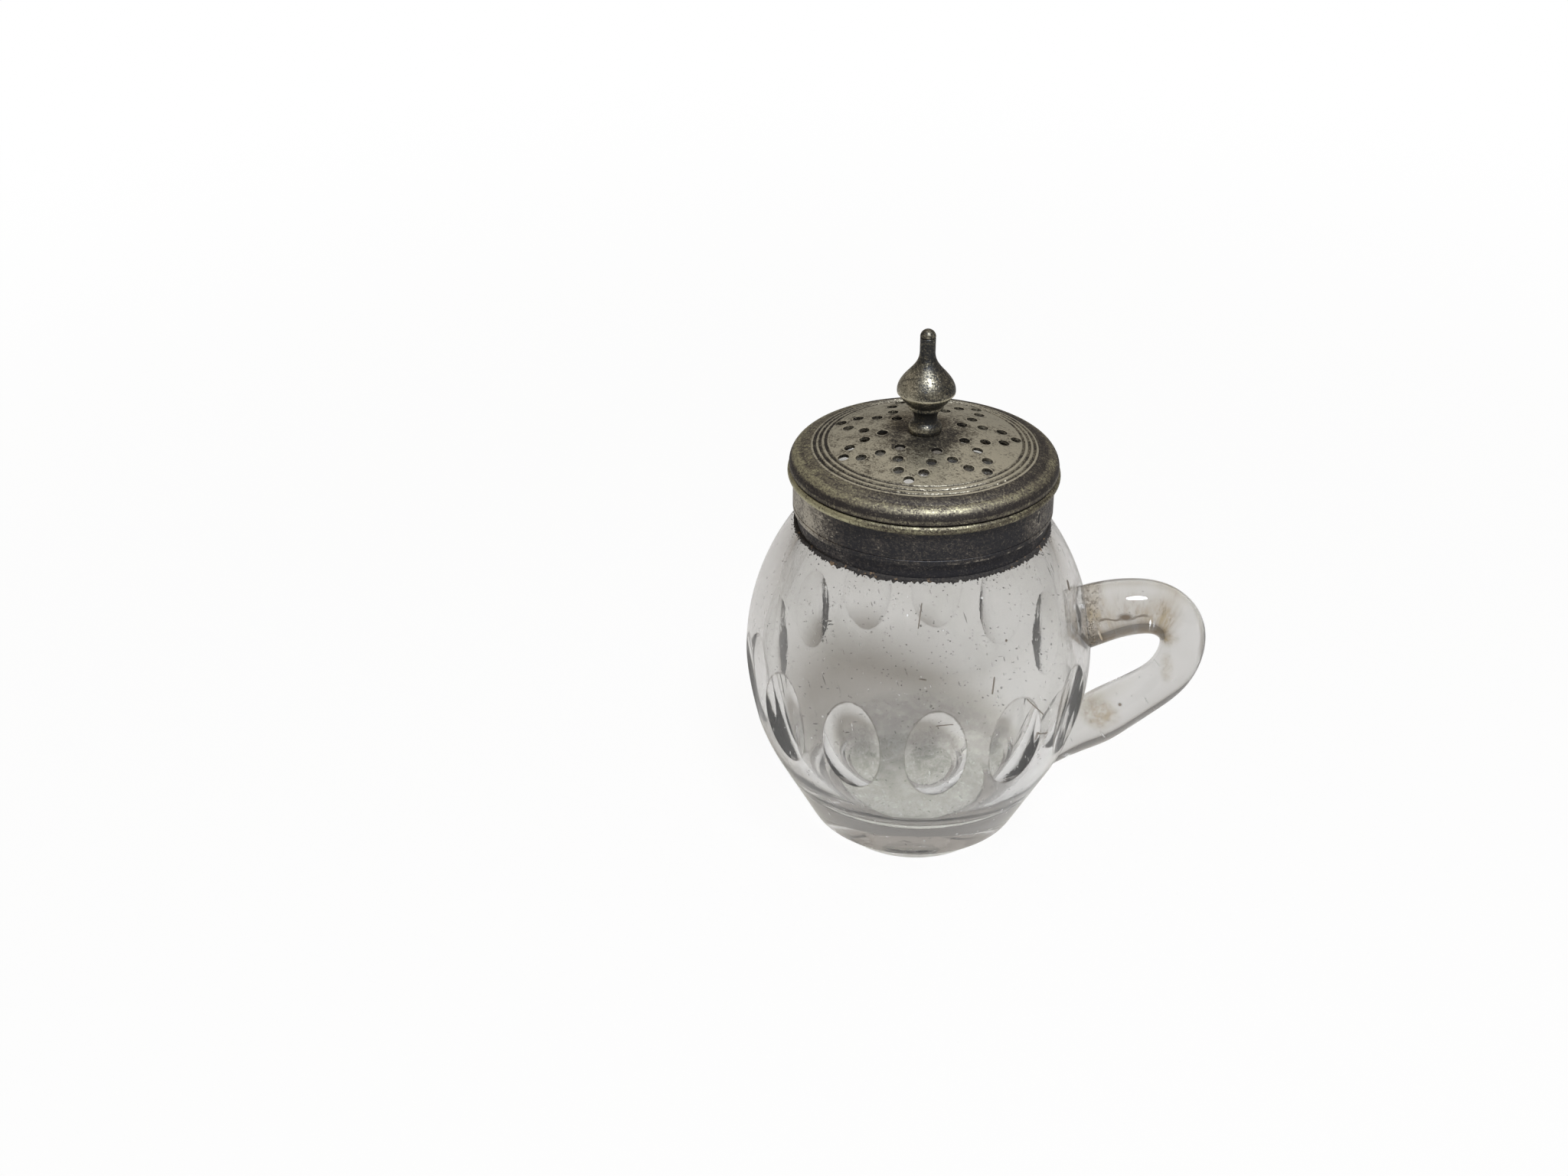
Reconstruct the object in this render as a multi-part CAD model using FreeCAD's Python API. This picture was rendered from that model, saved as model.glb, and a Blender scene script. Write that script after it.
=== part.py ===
import FreeCAD, Part
import math
import os

# Handled glass caster with a pull-off pierced metal cover, in millimetres.
# +Z is up and the origin is the centre of the flat base. The handle points along +X.

# Glass barrel, outside: one long arc for the belly, a cone below it and a cut heel
belly_r = 28.0
belly_z = 33.0
barrel_arc_r = 38.0
foot_cone_angle = 28.0
foot_flat_r = 13.6
heel_height = 3.8
heel_bulge_depth = 0.3

# Glass barrel, inside, and its neck
wall = 3.0
base_thickness = 10.5
floor_corner_r = 4.0
neck_r = 17.6
neck_wall = 2.6
neck_height = 6.0
neck_root_r = 0.5

# Thumb-print ovals ground round the barrel: the handle takes one of the stations
cut_stations = 13
cut_z = 29.5
cut_height = 16.4
cut_width = 9.8
cut_depth = 1.3

# Applied glass handle: a tapering rod bent in the plane Y = 0
handle_crest_reach = 8.5
handle_crest_z = 41.9
handle_arm_bend_r = 20.0
handle_arm_turn = 25.0
handle_top_bend_r = 6.4
handle_top_turn = 90.0
handle_low_bend_r = 11.0
handle_low_turn = 54.0
handle_low_length = 11.0
handle_tail_bend_r = 46.0
handle_tail_turn = 20.0
handle_root_r = 5.0
handle_root_depth = 4.0
handle_arm_r = 4.4
handle_bend_r = 3.6
handle_low_r = 4.5
handle_tail_r = 1.2

# Metal collar cemented on the neck, and the bezel soldered inside it
cement_bed = 0.35
cement_gap = 0.9
cement_height = 5.2
cement_lip = 0.3
bezel_wall = 0.6
bezel_rise = 5.0
band_wall = 0.7
band_height = 2.5

# Cover: skirt, applied bead, rim moulding and pierced top
slip_clearance = 0.2
skirt_wall = 1.2
skirt_height = 8.1
skirt_line_z = 0.8
skirt_line_depth = 0.12
bead_z = 6.05
bead_half_height = 0.7
bead_reach = 0.85
rim_roll_r = 2.2
rim_roll_in = 1.6
rim_roll_drop = 0.7
rim_height = 2.1
rim_low_angle = -10.0
rim_high_angle = 78.0
rim_ring_width = 2.8
rim_crown_height = 0.12
rabbet_width = 0.8
top_thickness = 0.5
top_rise = 2.5
groove_r = 0.28
groove_depth = 0.2
groove_edge_gap = 0.55
groove_steps = (0.85, 0.9)

# Star of pierced holes. A share is of the radius of the holes at the star's points, and each arm
# ring is the share and the angle either side of the point
star_points = 7
star_turn = 4.0
hole_r = 0.85
hole_groove_gap = 0.07
star_valley_share = 0.465
star_arm_rings = ((0.866, 9.0), (0.6725, 15.7))

# Finial, its stud, and the washer and nut under the cover
stud_r = 1.1
stud_clearance = 0.1
thread_clearance = 0.03
finial_seat_r = 2.9
washer_r = 2.8
washer_thickness = 0.4
nut_flats = 4.6
nut_height = 1.4
stud_below_nut = 0.4
finial_foot_r = 2.6
finial_foot_z = 0.4
finial_foot_tuck = 0.2
finial_foot_top_r = 1.95
finial_foot_height = 1.9
finial_foot_bulge = 0.25
finial_waist_r = 1.82
finial_waist_z = 2.7
finial_lip_r = 2.78
finial_lip_z = 4.2
finial_lip_height = 0.5
finial_bulb_r = 4.52
finial_bulb_z = 7.4
finial_shoulder_r = 3.7
finial_shoulder_z = 9.1
finial_ogee_r = 1.95
finial_ogee_z = 11.2
finial_ridge_z = 6.7
finial_ridge_step = 0.12
finial_neck_r = 1.21
finial_neck_z = 13.3
finial_groove_r = 1.1
finial_tip_r = 1.23
finial_tip_z = 15.9
finial_height = 17.05

# How far a cutter runs past what it cuts
overrun = 1.0

# Heights and radii that follow from the sizes above
arc_centre_r = belly_r - barrel_arc_r
bezel_in_r = neck_r + cement_gap
bezel_out_r = bezel_in_r + bezel_wall
band_out_r = bezel_out_r + band_wall
seat_r = band_out_r + cement_lip
seat_z = belly_z + math.sqrt(barrel_arc_r ** 2 - (seat_r - arc_centre_r) ** 2)
neck_top_z = seat_z + neck_height
band_z = seat_z + cement_bed
ledge_z = band_z + band_height
bezel_top_z = ledge_z + bezel_rise
skirt_in_r = bezel_out_r + slip_clearance
skirt_out_r = skirt_in_r + skirt_wall
skirt_top_z = ledge_z + skirt_height
rim_top_z = skirt_top_z + rim_height
top_edge_z = rim_top_z - top_thickness
top_r = skirt_out_r - rim_ring_width
dome_r = (top_r ** 2 + top_rise ** 2) / (2 * top_rise)
groove_out_r = top_r - groove_edge_gap
groove_mid_r = groove_out_r - groove_steps[0]
groove_in_r = groove_mid_r - groove_steps[1]
star_tip_r = groove_in_r - groove_r - hole_groove_gap - hole_r


def point(r, z):
    """A point of an outline in the plane Y = 0."""
    return FreeCAD.Vector(r, 0, z)


def line(a, b):
    return Part.LineSegment(a, b).toShape()


def arc(a, through, b):
    return Part.Arc(a, through, b).toShape()


def bulged(a, b, bulge):
    """An arc from a to b that stands out by bulge to the right of the way it runs."""
    along = b - a
    side = FreeCAD.Vector(along.z, 0, -along.x)
    side.normalize()
    return arc(a, (a + b) * 0.5 + side * bulge, b)


def lathe(edges):
    """The solid that a closed outline sweeps round the Z axis."""
    face = Part.Face(Part.Wire(Part.__sortEdges__(edges)))
    return face.revolve(FreeCAD.Vector(0, 0, 0), FreeCAD.Vector(0, 0, 1), 360)


def polygon(points):
    return [line(points[i - 1], points[i]) for i in range(len(points))]


def ring(r_in, r_out, z_low, z_high):
    """A plain tube round the Z axis."""
    outer = Part.makeCylinder(r_out, z_high - z_low, point(0, z_low))
    bore = Part.makeCylinder(r_in, z_high - z_low, point(0, z_low))
    return outer.cut(bore)


def on_arc(arc_r, z):
    """A point at height z on the arc of radius arc_r about the barrel's arc centre."""
    return point(arc_centre_r + math.sqrt(arc_r ** 2 - (z - belly_z) ** 2), z)


def barrel_blank():
    """The outside of the glass, with no cavity and no cuts."""
    turn = math.radians(foot_cone_angle)
    cone_top = point(arc_centre_r + barrel_arc_r * math.cos(turn), belly_z - barrel_arc_r * math.sin(turn))
    cone_low = point(cone_top.x - (cone_top.z - heel_height) * math.tan(turn), heel_height)
    foot_edge = point(foot_flat_r, 0)
    seat = point(seat_r, seat_z)
    root_out = point(neck_r + neck_root_r, seat_z)
    root_up = point(neck_r, seat_z + neck_root_r)
    root_mid = point(neck_r + neck_root_r * (1 - math.sqrt(0.5)), seat_z + neck_root_r * (1 - math.sqrt(0.5)))
    neck_top = point(neck_r, neck_top_z)
    edges = [
        line(point(0, 0), foot_edge),
        bulged(foot_edge, cone_low, heel_bulge_depth),
        line(cone_low, cone_top),
        arc(cone_top, on_arc(barrel_arc_r, belly_z), seat),
        line(seat, root_out),
        arc(root_out, root_mid, root_up),
        line(root_up, neck_top),
        line(neck_top, point(0, neck_top_z)),
        line(point(0, neck_top_z), point(0, 0)),
    ]
    return lathe(edges)


def cavity():
    """The inside of the glass: a flat floor, a round corner, the belly's arc and the neck's bore."""
    inner_arc_r = barrel_arc_r - wall
    bore_r = neck_r - neck_wall
    corner_z = base_thickness + floor_corner_r
    corner_r = arc_centre_r + math.sqrt((inner_arc_r - floor_corner_r) ** 2 - (corner_z - belly_z) ** 2)
    floor_edge = point(corner_r, base_thickness)
    out = FreeCAD.Vector(corner_r - arc_centre_r, 0, corner_z - belly_z)
    out.normalize()
    corner_end = point(arc_centre_r, belly_z) + out * inner_arc_r
    half_way = out + FreeCAD.Vector(0, 0, -1)
    half_way.normalize()
    corner_mid = point(corner_r, corner_z) + half_way * floor_corner_r
    bore_z = belly_z + math.sqrt(inner_arc_r ** 2 - (bore_r - arc_centre_r) ** 2)
    bore_low = point(bore_r, bore_z)
    bore_top = point(bore_r, neck_top_z + overrun)
    edges = [
        line(point(0, base_thickness), floor_edge),
        arc(floor_edge, corner_mid, corner_end),
        arc(corner_end, on_arc(inner_arc_r, belly_z), bore_low),
        line(bore_low, bore_top),
        line(bore_top, point(0, neck_top_z + overrun)),
        line(point(0, neck_top_z + overrun), point(0, base_thickness)),
    ]
    return lathe(edges)


def cutting_wheel(station):
    """The round-edged wheel that grinds one oval, sunk by cut_depth along the glass's own normal."""
    upright = 2 * cut_depth / (cut_height / 2) ** 2 - 1 / barrel_arc_r
    across = 2 * cut_depth / (cut_width / 2) ** 2 - 1 / belly_r
    wheel_r = 1 / upright
    edge_r = 1 / across
    lean = math.asin((cut_z - belly_z) / barrel_arc_r)
    normal = point(math.cos(lean), math.sin(lean))
    centre = on_arc(barrel_arc_r, cut_z) + normal * (wheel_r - cut_depth)
    wheel = Part.makeTorus(wheel_r - edge_r, edge_r, centre, FreeCAD.Vector(0, 1, 0))
    wheel.rotate(FreeCAD.Vector(0, 0, 0), FreeCAD.Vector(0, 0, 1), 360 * station / cut_stations)
    return wheel


def glass_body():
    """Blown barrel with its cavity and a row of ground ovals; the handle's station stays plain."""
    body = barrel_blank().cut(cavity())
    for station in range(1, cut_stations):
        body = body.cut(cutting_wheel(station))
    return body


def handle_stations():
    """Centre, heading and radius of the rod from its upper root, over the bend, to its tail."""
    turn = math.radians(handle_arm_turn)
    crest = point(belly_r + handle_crest_reach, handle_crest_z)
    start = crest - point(math.sin(turn), 1 - math.cos(turn)) * handle_arm_bend_r
    runs = [
        (handle_arm_bend_r, handle_arm_turn, 4, handle_root_r, handle_arm_r),
        (handle_top_bend_r, handle_top_turn, 4, handle_arm_r, handle_bend_r),
        (handle_low_bend_r, handle_low_turn, 3, handle_bend_r, handle_bend_r),
        (None, handle_low_length, 2, handle_bend_r, handle_low_r),
        (-handle_tail_bend_r, handle_tail_turn, 4, handle_low_r, handle_tail_r),
    ]
    heading = turn
    buried = start - point(math.cos(heading), math.sin(heading)) * handle_root_depth
    stations = [(buried, heading, handle_root_r), (start, heading, handle_root_r)]
    for bend_r, amount, steps, r_from, r_to in runs:
        for step in range(1, steps + 1):
            centre, heading = walk(stations[-1][0], heading, bend_r, amount / steps)
            stations.append((centre, heading, r_from + (r_to - r_from) * step / steps))
    return stations


def walk(place, heading, bend_r, amount):
    """Moves along a straight run, or round a bend to the right (to the left if bend_r is negative)."""
    if bend_r is None:
        return place + point(math.cos(heading), math.sin(heading)) * amount, heading
    turn = math.radians(amount) * (-1 if bend_r > 0 else 1)
    chord = 2 * abs(bend_r) * math.sin(abs(turn) / 2)
    middle = heading + turn / 2
    return place + point(math.cos(middle), math.sin(middle)) * chord, heading + turn


def glass_handle():
    """The applied rod, skinned through its stations; both ends are fitted to the barrel's outside."""
    sections = []
    for centre, heading, radius in handle_stations():
        along = point(math.cos(heading), math.sin(heading))
        sections.append(Part.Wire(Part.makeCircle(radius, centre, along)))
    rod = Part.makeLoft(sections, True, False)
    return rod.cut(barrel_blank())


def collar_cement():
    """Plaster that beds the collar on the shoulder and fills the gap round the neck."""
    bed = Part.makeCylinder(seat_r, cement_bed, point(0, seat_z))
    fill = Part.makeCylinder(bezel_in_r, cement_height, point(0, seat_z))
    return bed.fuse(fill).cut(barrel_blank()).removeSplitter()


def collar_band():
    """The visible metal band; the cover stands on its top edge."""
    return ring(bezel_out_r, band_out_r, band_z, ledge_z)


def collar_bezel():
    """The thin sleeve inside the band that the cover slips over."""
    return ring(bezel_in_r, bezel_out_r, band_z, bezel_top_z)


def cover_skirt():
    """The cover's straight wall, with one fine line turned near its lower edge."""
    skirt = ring(skirt_in_r, skirt_out_r, ledge_z, skirt_top_z)
    line_z = ledge_z + skirt_line_z
    cutter = polygon([
        point(skirt_out_r - skirt_line_depth, line_z),
        point(skirt_out_r + skirt_line_depth, line_z - 2 * skirt_line_depth),
        point(skirt_out_r + skirt_line_depth, line_z + 2 * skirt_line_depth),
    ])
    return skirt.cut(lathe(cutter))


def cover_bead():
    """Half-round wire soldered round the skirt."""
    low = point(skirt_out_r, ledge_z + bead_z - bead_half_height)
    high = point(skirt_out_r, ledge_z + bead_z + bead_half_height)
    crown = point(skirt_out_r + bead_reach, ledge_z + bead_z)
    return lathe([arc(low, crown, high), line(high, low)])


def cover_rim():
    """Rim moulding: a round roll, a low shoulder and the rabbet that the pierced top lies in."""
    centre = point(skirt_out_r - rim_roll_in, skirt_top_z - rim_roll_drop)

    def on_roll(degrees):
        turn = math.radians(degrees)
        return centre + point(math.cos(turn), math.sin(turn)) * rim_roll_r

    roll_low = on_roll(rim_low_angle)
    roll_mid = on_roll((rim_low_angle + rim_high_angle) / 2)
    roll_top = on_roll(rim_high_angle)
    ledge_r = top_r - rabbet_width
    foot = point(skirt_out_r, roll_low.z)
    shoulder_in = point(top_r, rim_top_z)
    edges = [
        line(foot, roll_low),
        arc(roll_low, roll_mid, roll_top),
        bulged(roll_top, shoulder_in, rim_crown_height),
        line(shoulder_in, point(top_r, top_edge_z)),
        line(point(top_r, top_edge_z), point(ledge_r, top_edge_z)),
        line(point(ledge_r, top_edge_z), point(ledge_r, skirt_top_z)),
        line(point(ledge_r, skirt_top_z), point(skirt_out_r, skirt_top_z)),
        line(point(skirt_out_r, skirt_top_z), foot),
    ]
    return lathe(edges)


def dome_z(r):
    """Height of the pierced top's upper face."""
    return rim_top_z + top_rise - dome_r + math.sqrt(dome_r ** 2 - r ** 2)


def star_holes():
    """Centres of all the holes of the star."""
    spots = []
    pitch = 360 / star_points
    for k in range(star_points):
        arm = star_turn + k * pitch
        spots.append((star_tip_r, arm))
        spots.append((star_tip_r * star_valley_share, arm + pitch / 2))
        for share, spread in star_arm_rings:
            spots.append((star_tip_r * share, arm - spread))
            spots.append((star_tip_r * share, arm + spread))
    return spots


def cover_top():
    """Low dome with turned grooves, a flat for the finial and the star of holes."""
    seat_top = dome_z(finial_seat_r)
    half_r = (top_r + finial_seat_r) / 2
    drop = point(0, -top_thickness)
    outer = [point(finial_seat_r, seat_top), point(half_r, dome_z(half_r)), point(top_r, rim_top_z)]
    edges = [
        line(point(0, seat_top), outer[0]),
        arc(outer[0], outer[1], outer[2]),
        line(outer[2], outer[2] + drop),
        arc(outer[2] + drop, outer[1] + drop, outer[0] + drop),
        line(outer[0] + drop, point(0, seat_top - top_thickness)),
        line(point(0, seat_top - top_thickness), point(0, seat_top)),
    ]
    plate = lathe(edges)
    for radius in (groove_in_r, groove_mid_r, groove_out_r):
        height = dome_z(radius) - groove_depth + groove_r
        plate = plate.cut(Part.makeTorus(radius, groove_r, point(0, height)))
    drill_z = top_edge_z - overrun
    drill_length = seat_top + overrun - drill_z
    cutters = [Part.makeCylinder(stud_r + stud_clearance, drill_length, point(0, drill_z))]
    for radius, degrees in star_holes():
        turn = math.radians(degrees)
        place = FreeCAD.Vector(radius * math.cos(turn), radius * math.sin(turn), drill_z)
        cutters.append(Part.makeCylinder(hole_r, drill_length, place))
    return plate.cut(Part.makeCompound(cutters))


def finial():
    """Turned baluster with its stud, from foot bead to grooved tip."""
    foot_z = dome_z(finial_seat_r)
    stud_low = foot_z - top_thickness - washer_thickness - nut_height - stud_below_nut

    def at(r, height):
        return point(r, foot_z + height)

    lip_top = finial_lip_z + finial_lip_height
    foot_side = at(finial_foot_r, finial_foot_z)
    foot_top = at(finial_foot_top_r, finial_foot_height)
    bulb_low_r = finial_bulb_r - finial_ridge_step
    bulb = Part.BSplineCurve()
    bulb.interpolate([
        at(finial_bulb_r, finial_ridge_z),
        at(finial_bulb_r, finial_bulb_z),
        at(finial_shoulder_r, finial_shoulder_z),
        at(finial_ogee_r, finial_ogee_z),
        at(finial_neck_r, finial_neck_z),
    ])
    groove_half = finial_tip_r - finial_groove_r
    groove_z = finial_tip_z - groove_half
    tip_height = finial_height - finial_tip_z
    tip_ball_r = (finial_tip_r ** 2 + tip_height ** 2) / (2 * tip_height)
    tip_side = at(tip_ball_r * math.sqrt(0.5), finial_height - tip_ball_r * (1 - math.sqrt(0.5)))
    edges = [
        line(point(0, stud_low), point(stud_r, stud_low)),
        line(point(stud_r, stud_low), at(stud_r, 0)),
        line(at(stud_r, 0), at(finial_foot_r - finial_foot_tuck, 0)),
        line(at(finial_foot_r - finial_foot_tuck, 0), foot_side),
        bulged(foot_side, foot_top, finial_foot_bulge),
        arc(foot_top, at(finial_waist_r, finial_waist_z), at(finial_lip_r, finial_lip_z)),
        line(at(finial_lip_r, finial_lip_z), at(finial_lip_r, lip_top)),
        bulged(at(finial_lip_r, lip_top), at(bulb_low_r, finial_ridge_z), finial_ridge_step),
        line(at(bulb_low_r, finial_ridge_z), at(finial_bulb_r, finial_ridge_z)),
        bulb.toShape(),
        line(at(finial_neck_r, finial_neck_z), at(finial_neck_r, groove_z - groove_half)),
        line(at(finial_neck_r, groove_z - groove_half), at(finial_groove_r, groove_z)),
        line(at(finial_groove_r, groove_z), at(finial_tip_r, finial_tip_z)),
        arc(at(finial_tip_r, finial_tip_z), tip_side, at(0, finial_height)),
        line(at(0, finial_height), point(0, stud_low)),
    ]
    return lathe(edges)


def finial_washer():
    top_z = dome_z(finial_seat_r) - top_thickness
    return ring(stud_r + stud_clearance, washer_r, top_z - washer_thickness, top_z)


def finial_nut():
    """Small six-sided nut on the stud."""
    top_z = dome_z(finial_seat_r) - top_thickness - washer_thickness
    corner_r = nut_flats / 2 / math.cos(math.radians(30))
    corners = []
    for k in range(7):
        turn = math.radians(60 * k)
        corners.append(FreeCAD.Vector(corner_r * math.cos(turn), corner_r * math.sin(turn), top_z - nut_height))
    blank = Part.Face(Part.makePolygon(corners)).extrude(FreeCAD.Vector(0, 0, nut_height))
    return blank.cut(Part.makeCylinder(stud_r + thread_clearance, nut_height, point(0, top_z - nut_height)))


nodes = {
    "glass_body": glass_body(),
    "glass_handle": glass_handle(),
    "collar_cement": collar_cement(),
    "collar_band": collar_band(),
    "collar_bezel": collar_bezel(),
    "cover_skirt": cover_skirt(),
    "cover_bead": cover_bead(),
    "cover_rim": cover_rim(),
    "cover_top": cover_top(),
    "finial": finial(),
    "finial_washer": finial_washer(),
    "finial_nut": finial_nut(),
}

os.makedirs("parts", exist_ok=True)
for name, shape in nodes.items():
    shape.exportStep("parts/" + name + ".step")
    box = shape.BoundBox
    print(name, len(shape.Solids), "solid", shape.isValid(), round(shape.Volume, 2), "mm3",
          "z", round(box.ZMin, 2), round(box.ZMax, 2), "x", round(box.XMin, 2), round(box.XMax, 2))
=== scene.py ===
# %% [markdown]
# A small glass caster with a handle and a pierced metal cover. The solids of the part give every
# place and size. This script dresses them: the glass is modelled again, smooth enough to see
# through, and the metal gets its tarnish, wear and scratches.

# %% Load the part's solids
import random
from math import acos, asin, atan2, cos, degrees, hypot, pi, radians, sin, sqrt

import bmesh
import bpy
from mathutils import Matrix, Vector, noise


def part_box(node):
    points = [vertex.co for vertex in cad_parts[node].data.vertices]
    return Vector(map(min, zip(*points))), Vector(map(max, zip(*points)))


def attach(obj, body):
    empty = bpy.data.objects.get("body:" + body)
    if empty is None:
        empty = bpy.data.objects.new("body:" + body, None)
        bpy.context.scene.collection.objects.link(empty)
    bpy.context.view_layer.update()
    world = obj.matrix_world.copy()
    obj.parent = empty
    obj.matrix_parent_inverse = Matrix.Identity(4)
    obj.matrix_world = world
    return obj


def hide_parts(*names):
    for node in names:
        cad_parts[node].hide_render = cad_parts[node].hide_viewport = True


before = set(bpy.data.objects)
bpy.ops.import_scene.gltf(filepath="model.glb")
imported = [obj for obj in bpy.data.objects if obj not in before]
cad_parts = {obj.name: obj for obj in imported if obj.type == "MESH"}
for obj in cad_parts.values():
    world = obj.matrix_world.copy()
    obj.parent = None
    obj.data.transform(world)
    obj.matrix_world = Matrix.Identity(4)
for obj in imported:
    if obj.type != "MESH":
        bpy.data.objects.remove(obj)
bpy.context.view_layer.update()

# %% [markdown]
# The picture was taken with a phone, a little above the table. The camera stands where the ellipses
# of the cover and of the collar say it stood, so a piece that has the right size also falls on the
# right place in the picture. No shift and no depth of field are needed.

# %% Camera
CAMERA_PLACE = (0.0, -0.31819, 0.22214)
CAMERA_PITCH = 29.336
CAMERA_YAW = 3.942
FOCAL_PIXELS = 2950
PICTURE_WIDTH = 2048
SENSOR = 36.0

camera_data = bpy.data.cameras.new("view")
camera_data.sensor_width = SENSOR
camera_data.lens = SENSOR * FOCAL_PIXELS / PICTURE_WIDTH
camera_data.clip_start = 0.01
camera = bpy.data.objects.new("view", camera_data)
camera.location = CAMERA_PLACE
camera.rotation_euler = (radians(90 - CAMERA_PITCH), 0, radians(CAMERA_YAW))
bpy.context.scene.collection.objects.link(camera)
bpy.context.scene.camera = camera
bpy.context.scene.view_settings.view_transform = "Standard"
print("lens", round(camera_data.lens, 2), "mm")

# %% [markdown]
# Every finish below is a small sum of masks: a noise here, a height there. Written as nodes that is
# long, so one class wraps a socket and lets Python's own plus and times signs add the Math nodes.
# A second class holds one material, and all its other nodes come from a single method.


# %% Numbers that vary over a surface
class Field:
    """One output socket of a node tree, with arithmetic that adds Math nodes."""

    def __init__(self, paint, socket):
        self.paint = paint
        self.socket = socket

    def maths(self, operation, *values, clamp=False):
        inputs = dict(enumerate(values))
        return self.paint.field("ShaderNodeMath", {"operation": operation, "use_clamp": clamp}, inputs)

    def __add__(self, other):
        return self.maths("ADD", self, other)

    def __sub__(self, other):
        return self.maths("SUBTRACT", self, other)

    def __rsub__(self, other):
        return self.maths("SUBTRACT", other, self)

    def __mul__(self, other):
        return self.maths("MULTIPLY", self, other)

    def __truediv__(self, other):
        return self.maths("DIVIDE", self, other)

    def __pow__(self, other):
        return self.maths("POWER", self, other)

    __radd__ = __add__
    __rmul__ = __mul__

    def root(self):
        return self.maths("SQRT", self)

    def size(self):
        return self.maths("ABSOLUTE", self)

    def clamped(self):
        return self.maths("ADD", self, 0.0, clamp=True)

    def least(self, other):
        return self.maths("MINIMUM", self, other)

    def most(self, other):
        return self.maths("MAXIMUM", self, other)

    def between(self, low, high):
        """0 below low, 1 above high, and a smooth step between them. High may be the lower number."""
        settings = {"interpolation_type": "SMOOTHSTEP"}
        if low > high:
            return 1 - self.between(high, low)
        return self.paint.field("ShaderNodeMapRange", settings, {0: self, 1: low, 2: high})


# %% One material and its nodes
STREAK_LEAN = 0.6


class Paint:
    """A material, or the world, as it is being mixed. Places are in millimetres."""

    def __init__(self, name, block=None):
        self.block = block or bpy.data.materials.new(name)
        self.block.use_nodes = True
        self.tree = self.block.node_tree
        self.tree.nodes.clear()

    def node(self, kind, settings=None, inputs=None):
        """Adds a node: its settings are set first, then the value or link of each socket."""
        made = self.tree.nodes.new(kind)
        for key, value in (settings or {}).items():
            setattr(made, key, value)
        for key, value in (inputs or {}).items():
            if isinstance(value, Field):
                self.tree.links.new(value.socket, made.inputs[key])
            else:
                made.inputs[key].default_value = value
        return made

    def field(self, kind, settings=None, inputs=None, output=0):
        return Field(self, self.node(kind, settings, inputs).outputs[output])

    def place(self):
        """The point on the object, in millimetres."""
        spot = self.field("ShaderNodeTexCoord", output="Object")
        return self.field("ShaderNodeVectorMath", {"operation": "SCALE"}, {0: spot, "Scale": 1000.0})

    def axes(self):
        """Distance from the axis, height, and the two parts across."""
        apart = self.node("ShaderNodeSeparateXYZ", None, {0: self.place()})
        x, y, z = (Field(self, socket) for socket in apart.outputs)
        return (x * x + y * y).root(), z, x, y

    def mapped(self, grain, seed, turn=(0, 0, 0)):
        """The place, turned, then squeezed so that a pattern's cells have the size of grain."""
        sizes = grain if isinstance(grain, tuple) else (grain,) * 3
        turned = self.field("ShaderNodeMapping", {"vector_type": "POINT"},
                            {0: self.place(), "Rotation": [radians(a) for a in turn]})
        return self.field("ShaderNodeMapping", {"vector_type": "POINT"},
                          {0: turned, "Location": (seed * 3.7, seed * 1.3, seed * 2.9), "Scale": [1 / s for s in sizes]})

    def noise(self, grain, seed=0, detail=2.0, rough=0.5, turn=(0, 0, 0)):
        """A cloudy number round 0.5."""
        inputs = {"Vector": self.mapped(grain, seed, turn), "Scale": 1.0, "Detail": detail, "Roughness": rough}
        return self.field("ShaderNodeTexNoise", None, inputs, "Fac")

    def streaks(self, length, width, seed=0, detail=2.0, rough=0.6):
        """Lines that run round the axis, as a lathe or a polishing cloth leaves them."""
        r, z, x, y = self.axes()
        fine = (r * STREAK_LEAN - z) / width + seed * 7.1
        spot = self.field("ShaderNodeCombineXYZ", None, {0: x / length, 1: y / length, 2: fine})
        inputs = {"Vector": spot, "Scale": 1.0, "Detail": detail, "Roughness": rough}
        return self.field("ShaderNodeTexNoise", None, inputs, "Fac")

    def dashes(self, grain, keep, seed=0, turn=(0, 0, 0), width=0.3):
        """Short separate marks: one lies in each stretched cell, and only a share of them is kept."""
        cell = self.node("ShaderNodeTexVoronoi", None, {"Vector": self.mapped(grain, seed, turn), "Scale": 1.0})
        near = Field(self, cell.outputs["Distance"]).between(width, width * 0.4)
        apart = self.node("ShaderNodeSeparateColor", None, {0: Field(self, cell.outputs["Color"])})
        return near * Field(self, apart.outputs[0]).between(1 - keep, 1 - keep + 0.02)

    def blend(self, share, first, second):
        """A colour between two colours."""
        inputs = {0: share, 6: colour(first), 7: colour(second)}
        return self.field("ShaderNodeMix", {"data_type": "RGBA"}, inputs, 2)

    def bump(self, height, reach):
        """Turns a height in millimetres into a tilt of the surface."""
        inputs = {"Height": height, "Distance": reach * 0.001, "Strength": 1.0}
        return self.field("ShaderNodeBump", None, inputs)

    def finish(self, lets_through=None, **inputs):
        """Ends the material in one principled shader. Light that only casts a shadow may pass through it."""
        named = {key.replace("_", " "): value for key, value in inputs.items()}
        surface = Field(self, self.node("ShaderNodeBsdfPrincipled", None, named).outputs[0])
        if lets_through:
            ray = self.node("ShaderNodeLightPath")
            clear = self.node("ShaderNodeBsdfTransparent", None, {"Color": colour(lets_through)})
            share = Field(self, ray.outputs["Is Shadow Ray"])
            surface = self.field("ShaderNodeMixShader", None, {0: share, 1: surface, 2: Field(self, clear.outputs[0])})
        self.node("ShaderNodeOutputMaterial", None, {0: surface})
        return self.block


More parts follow.
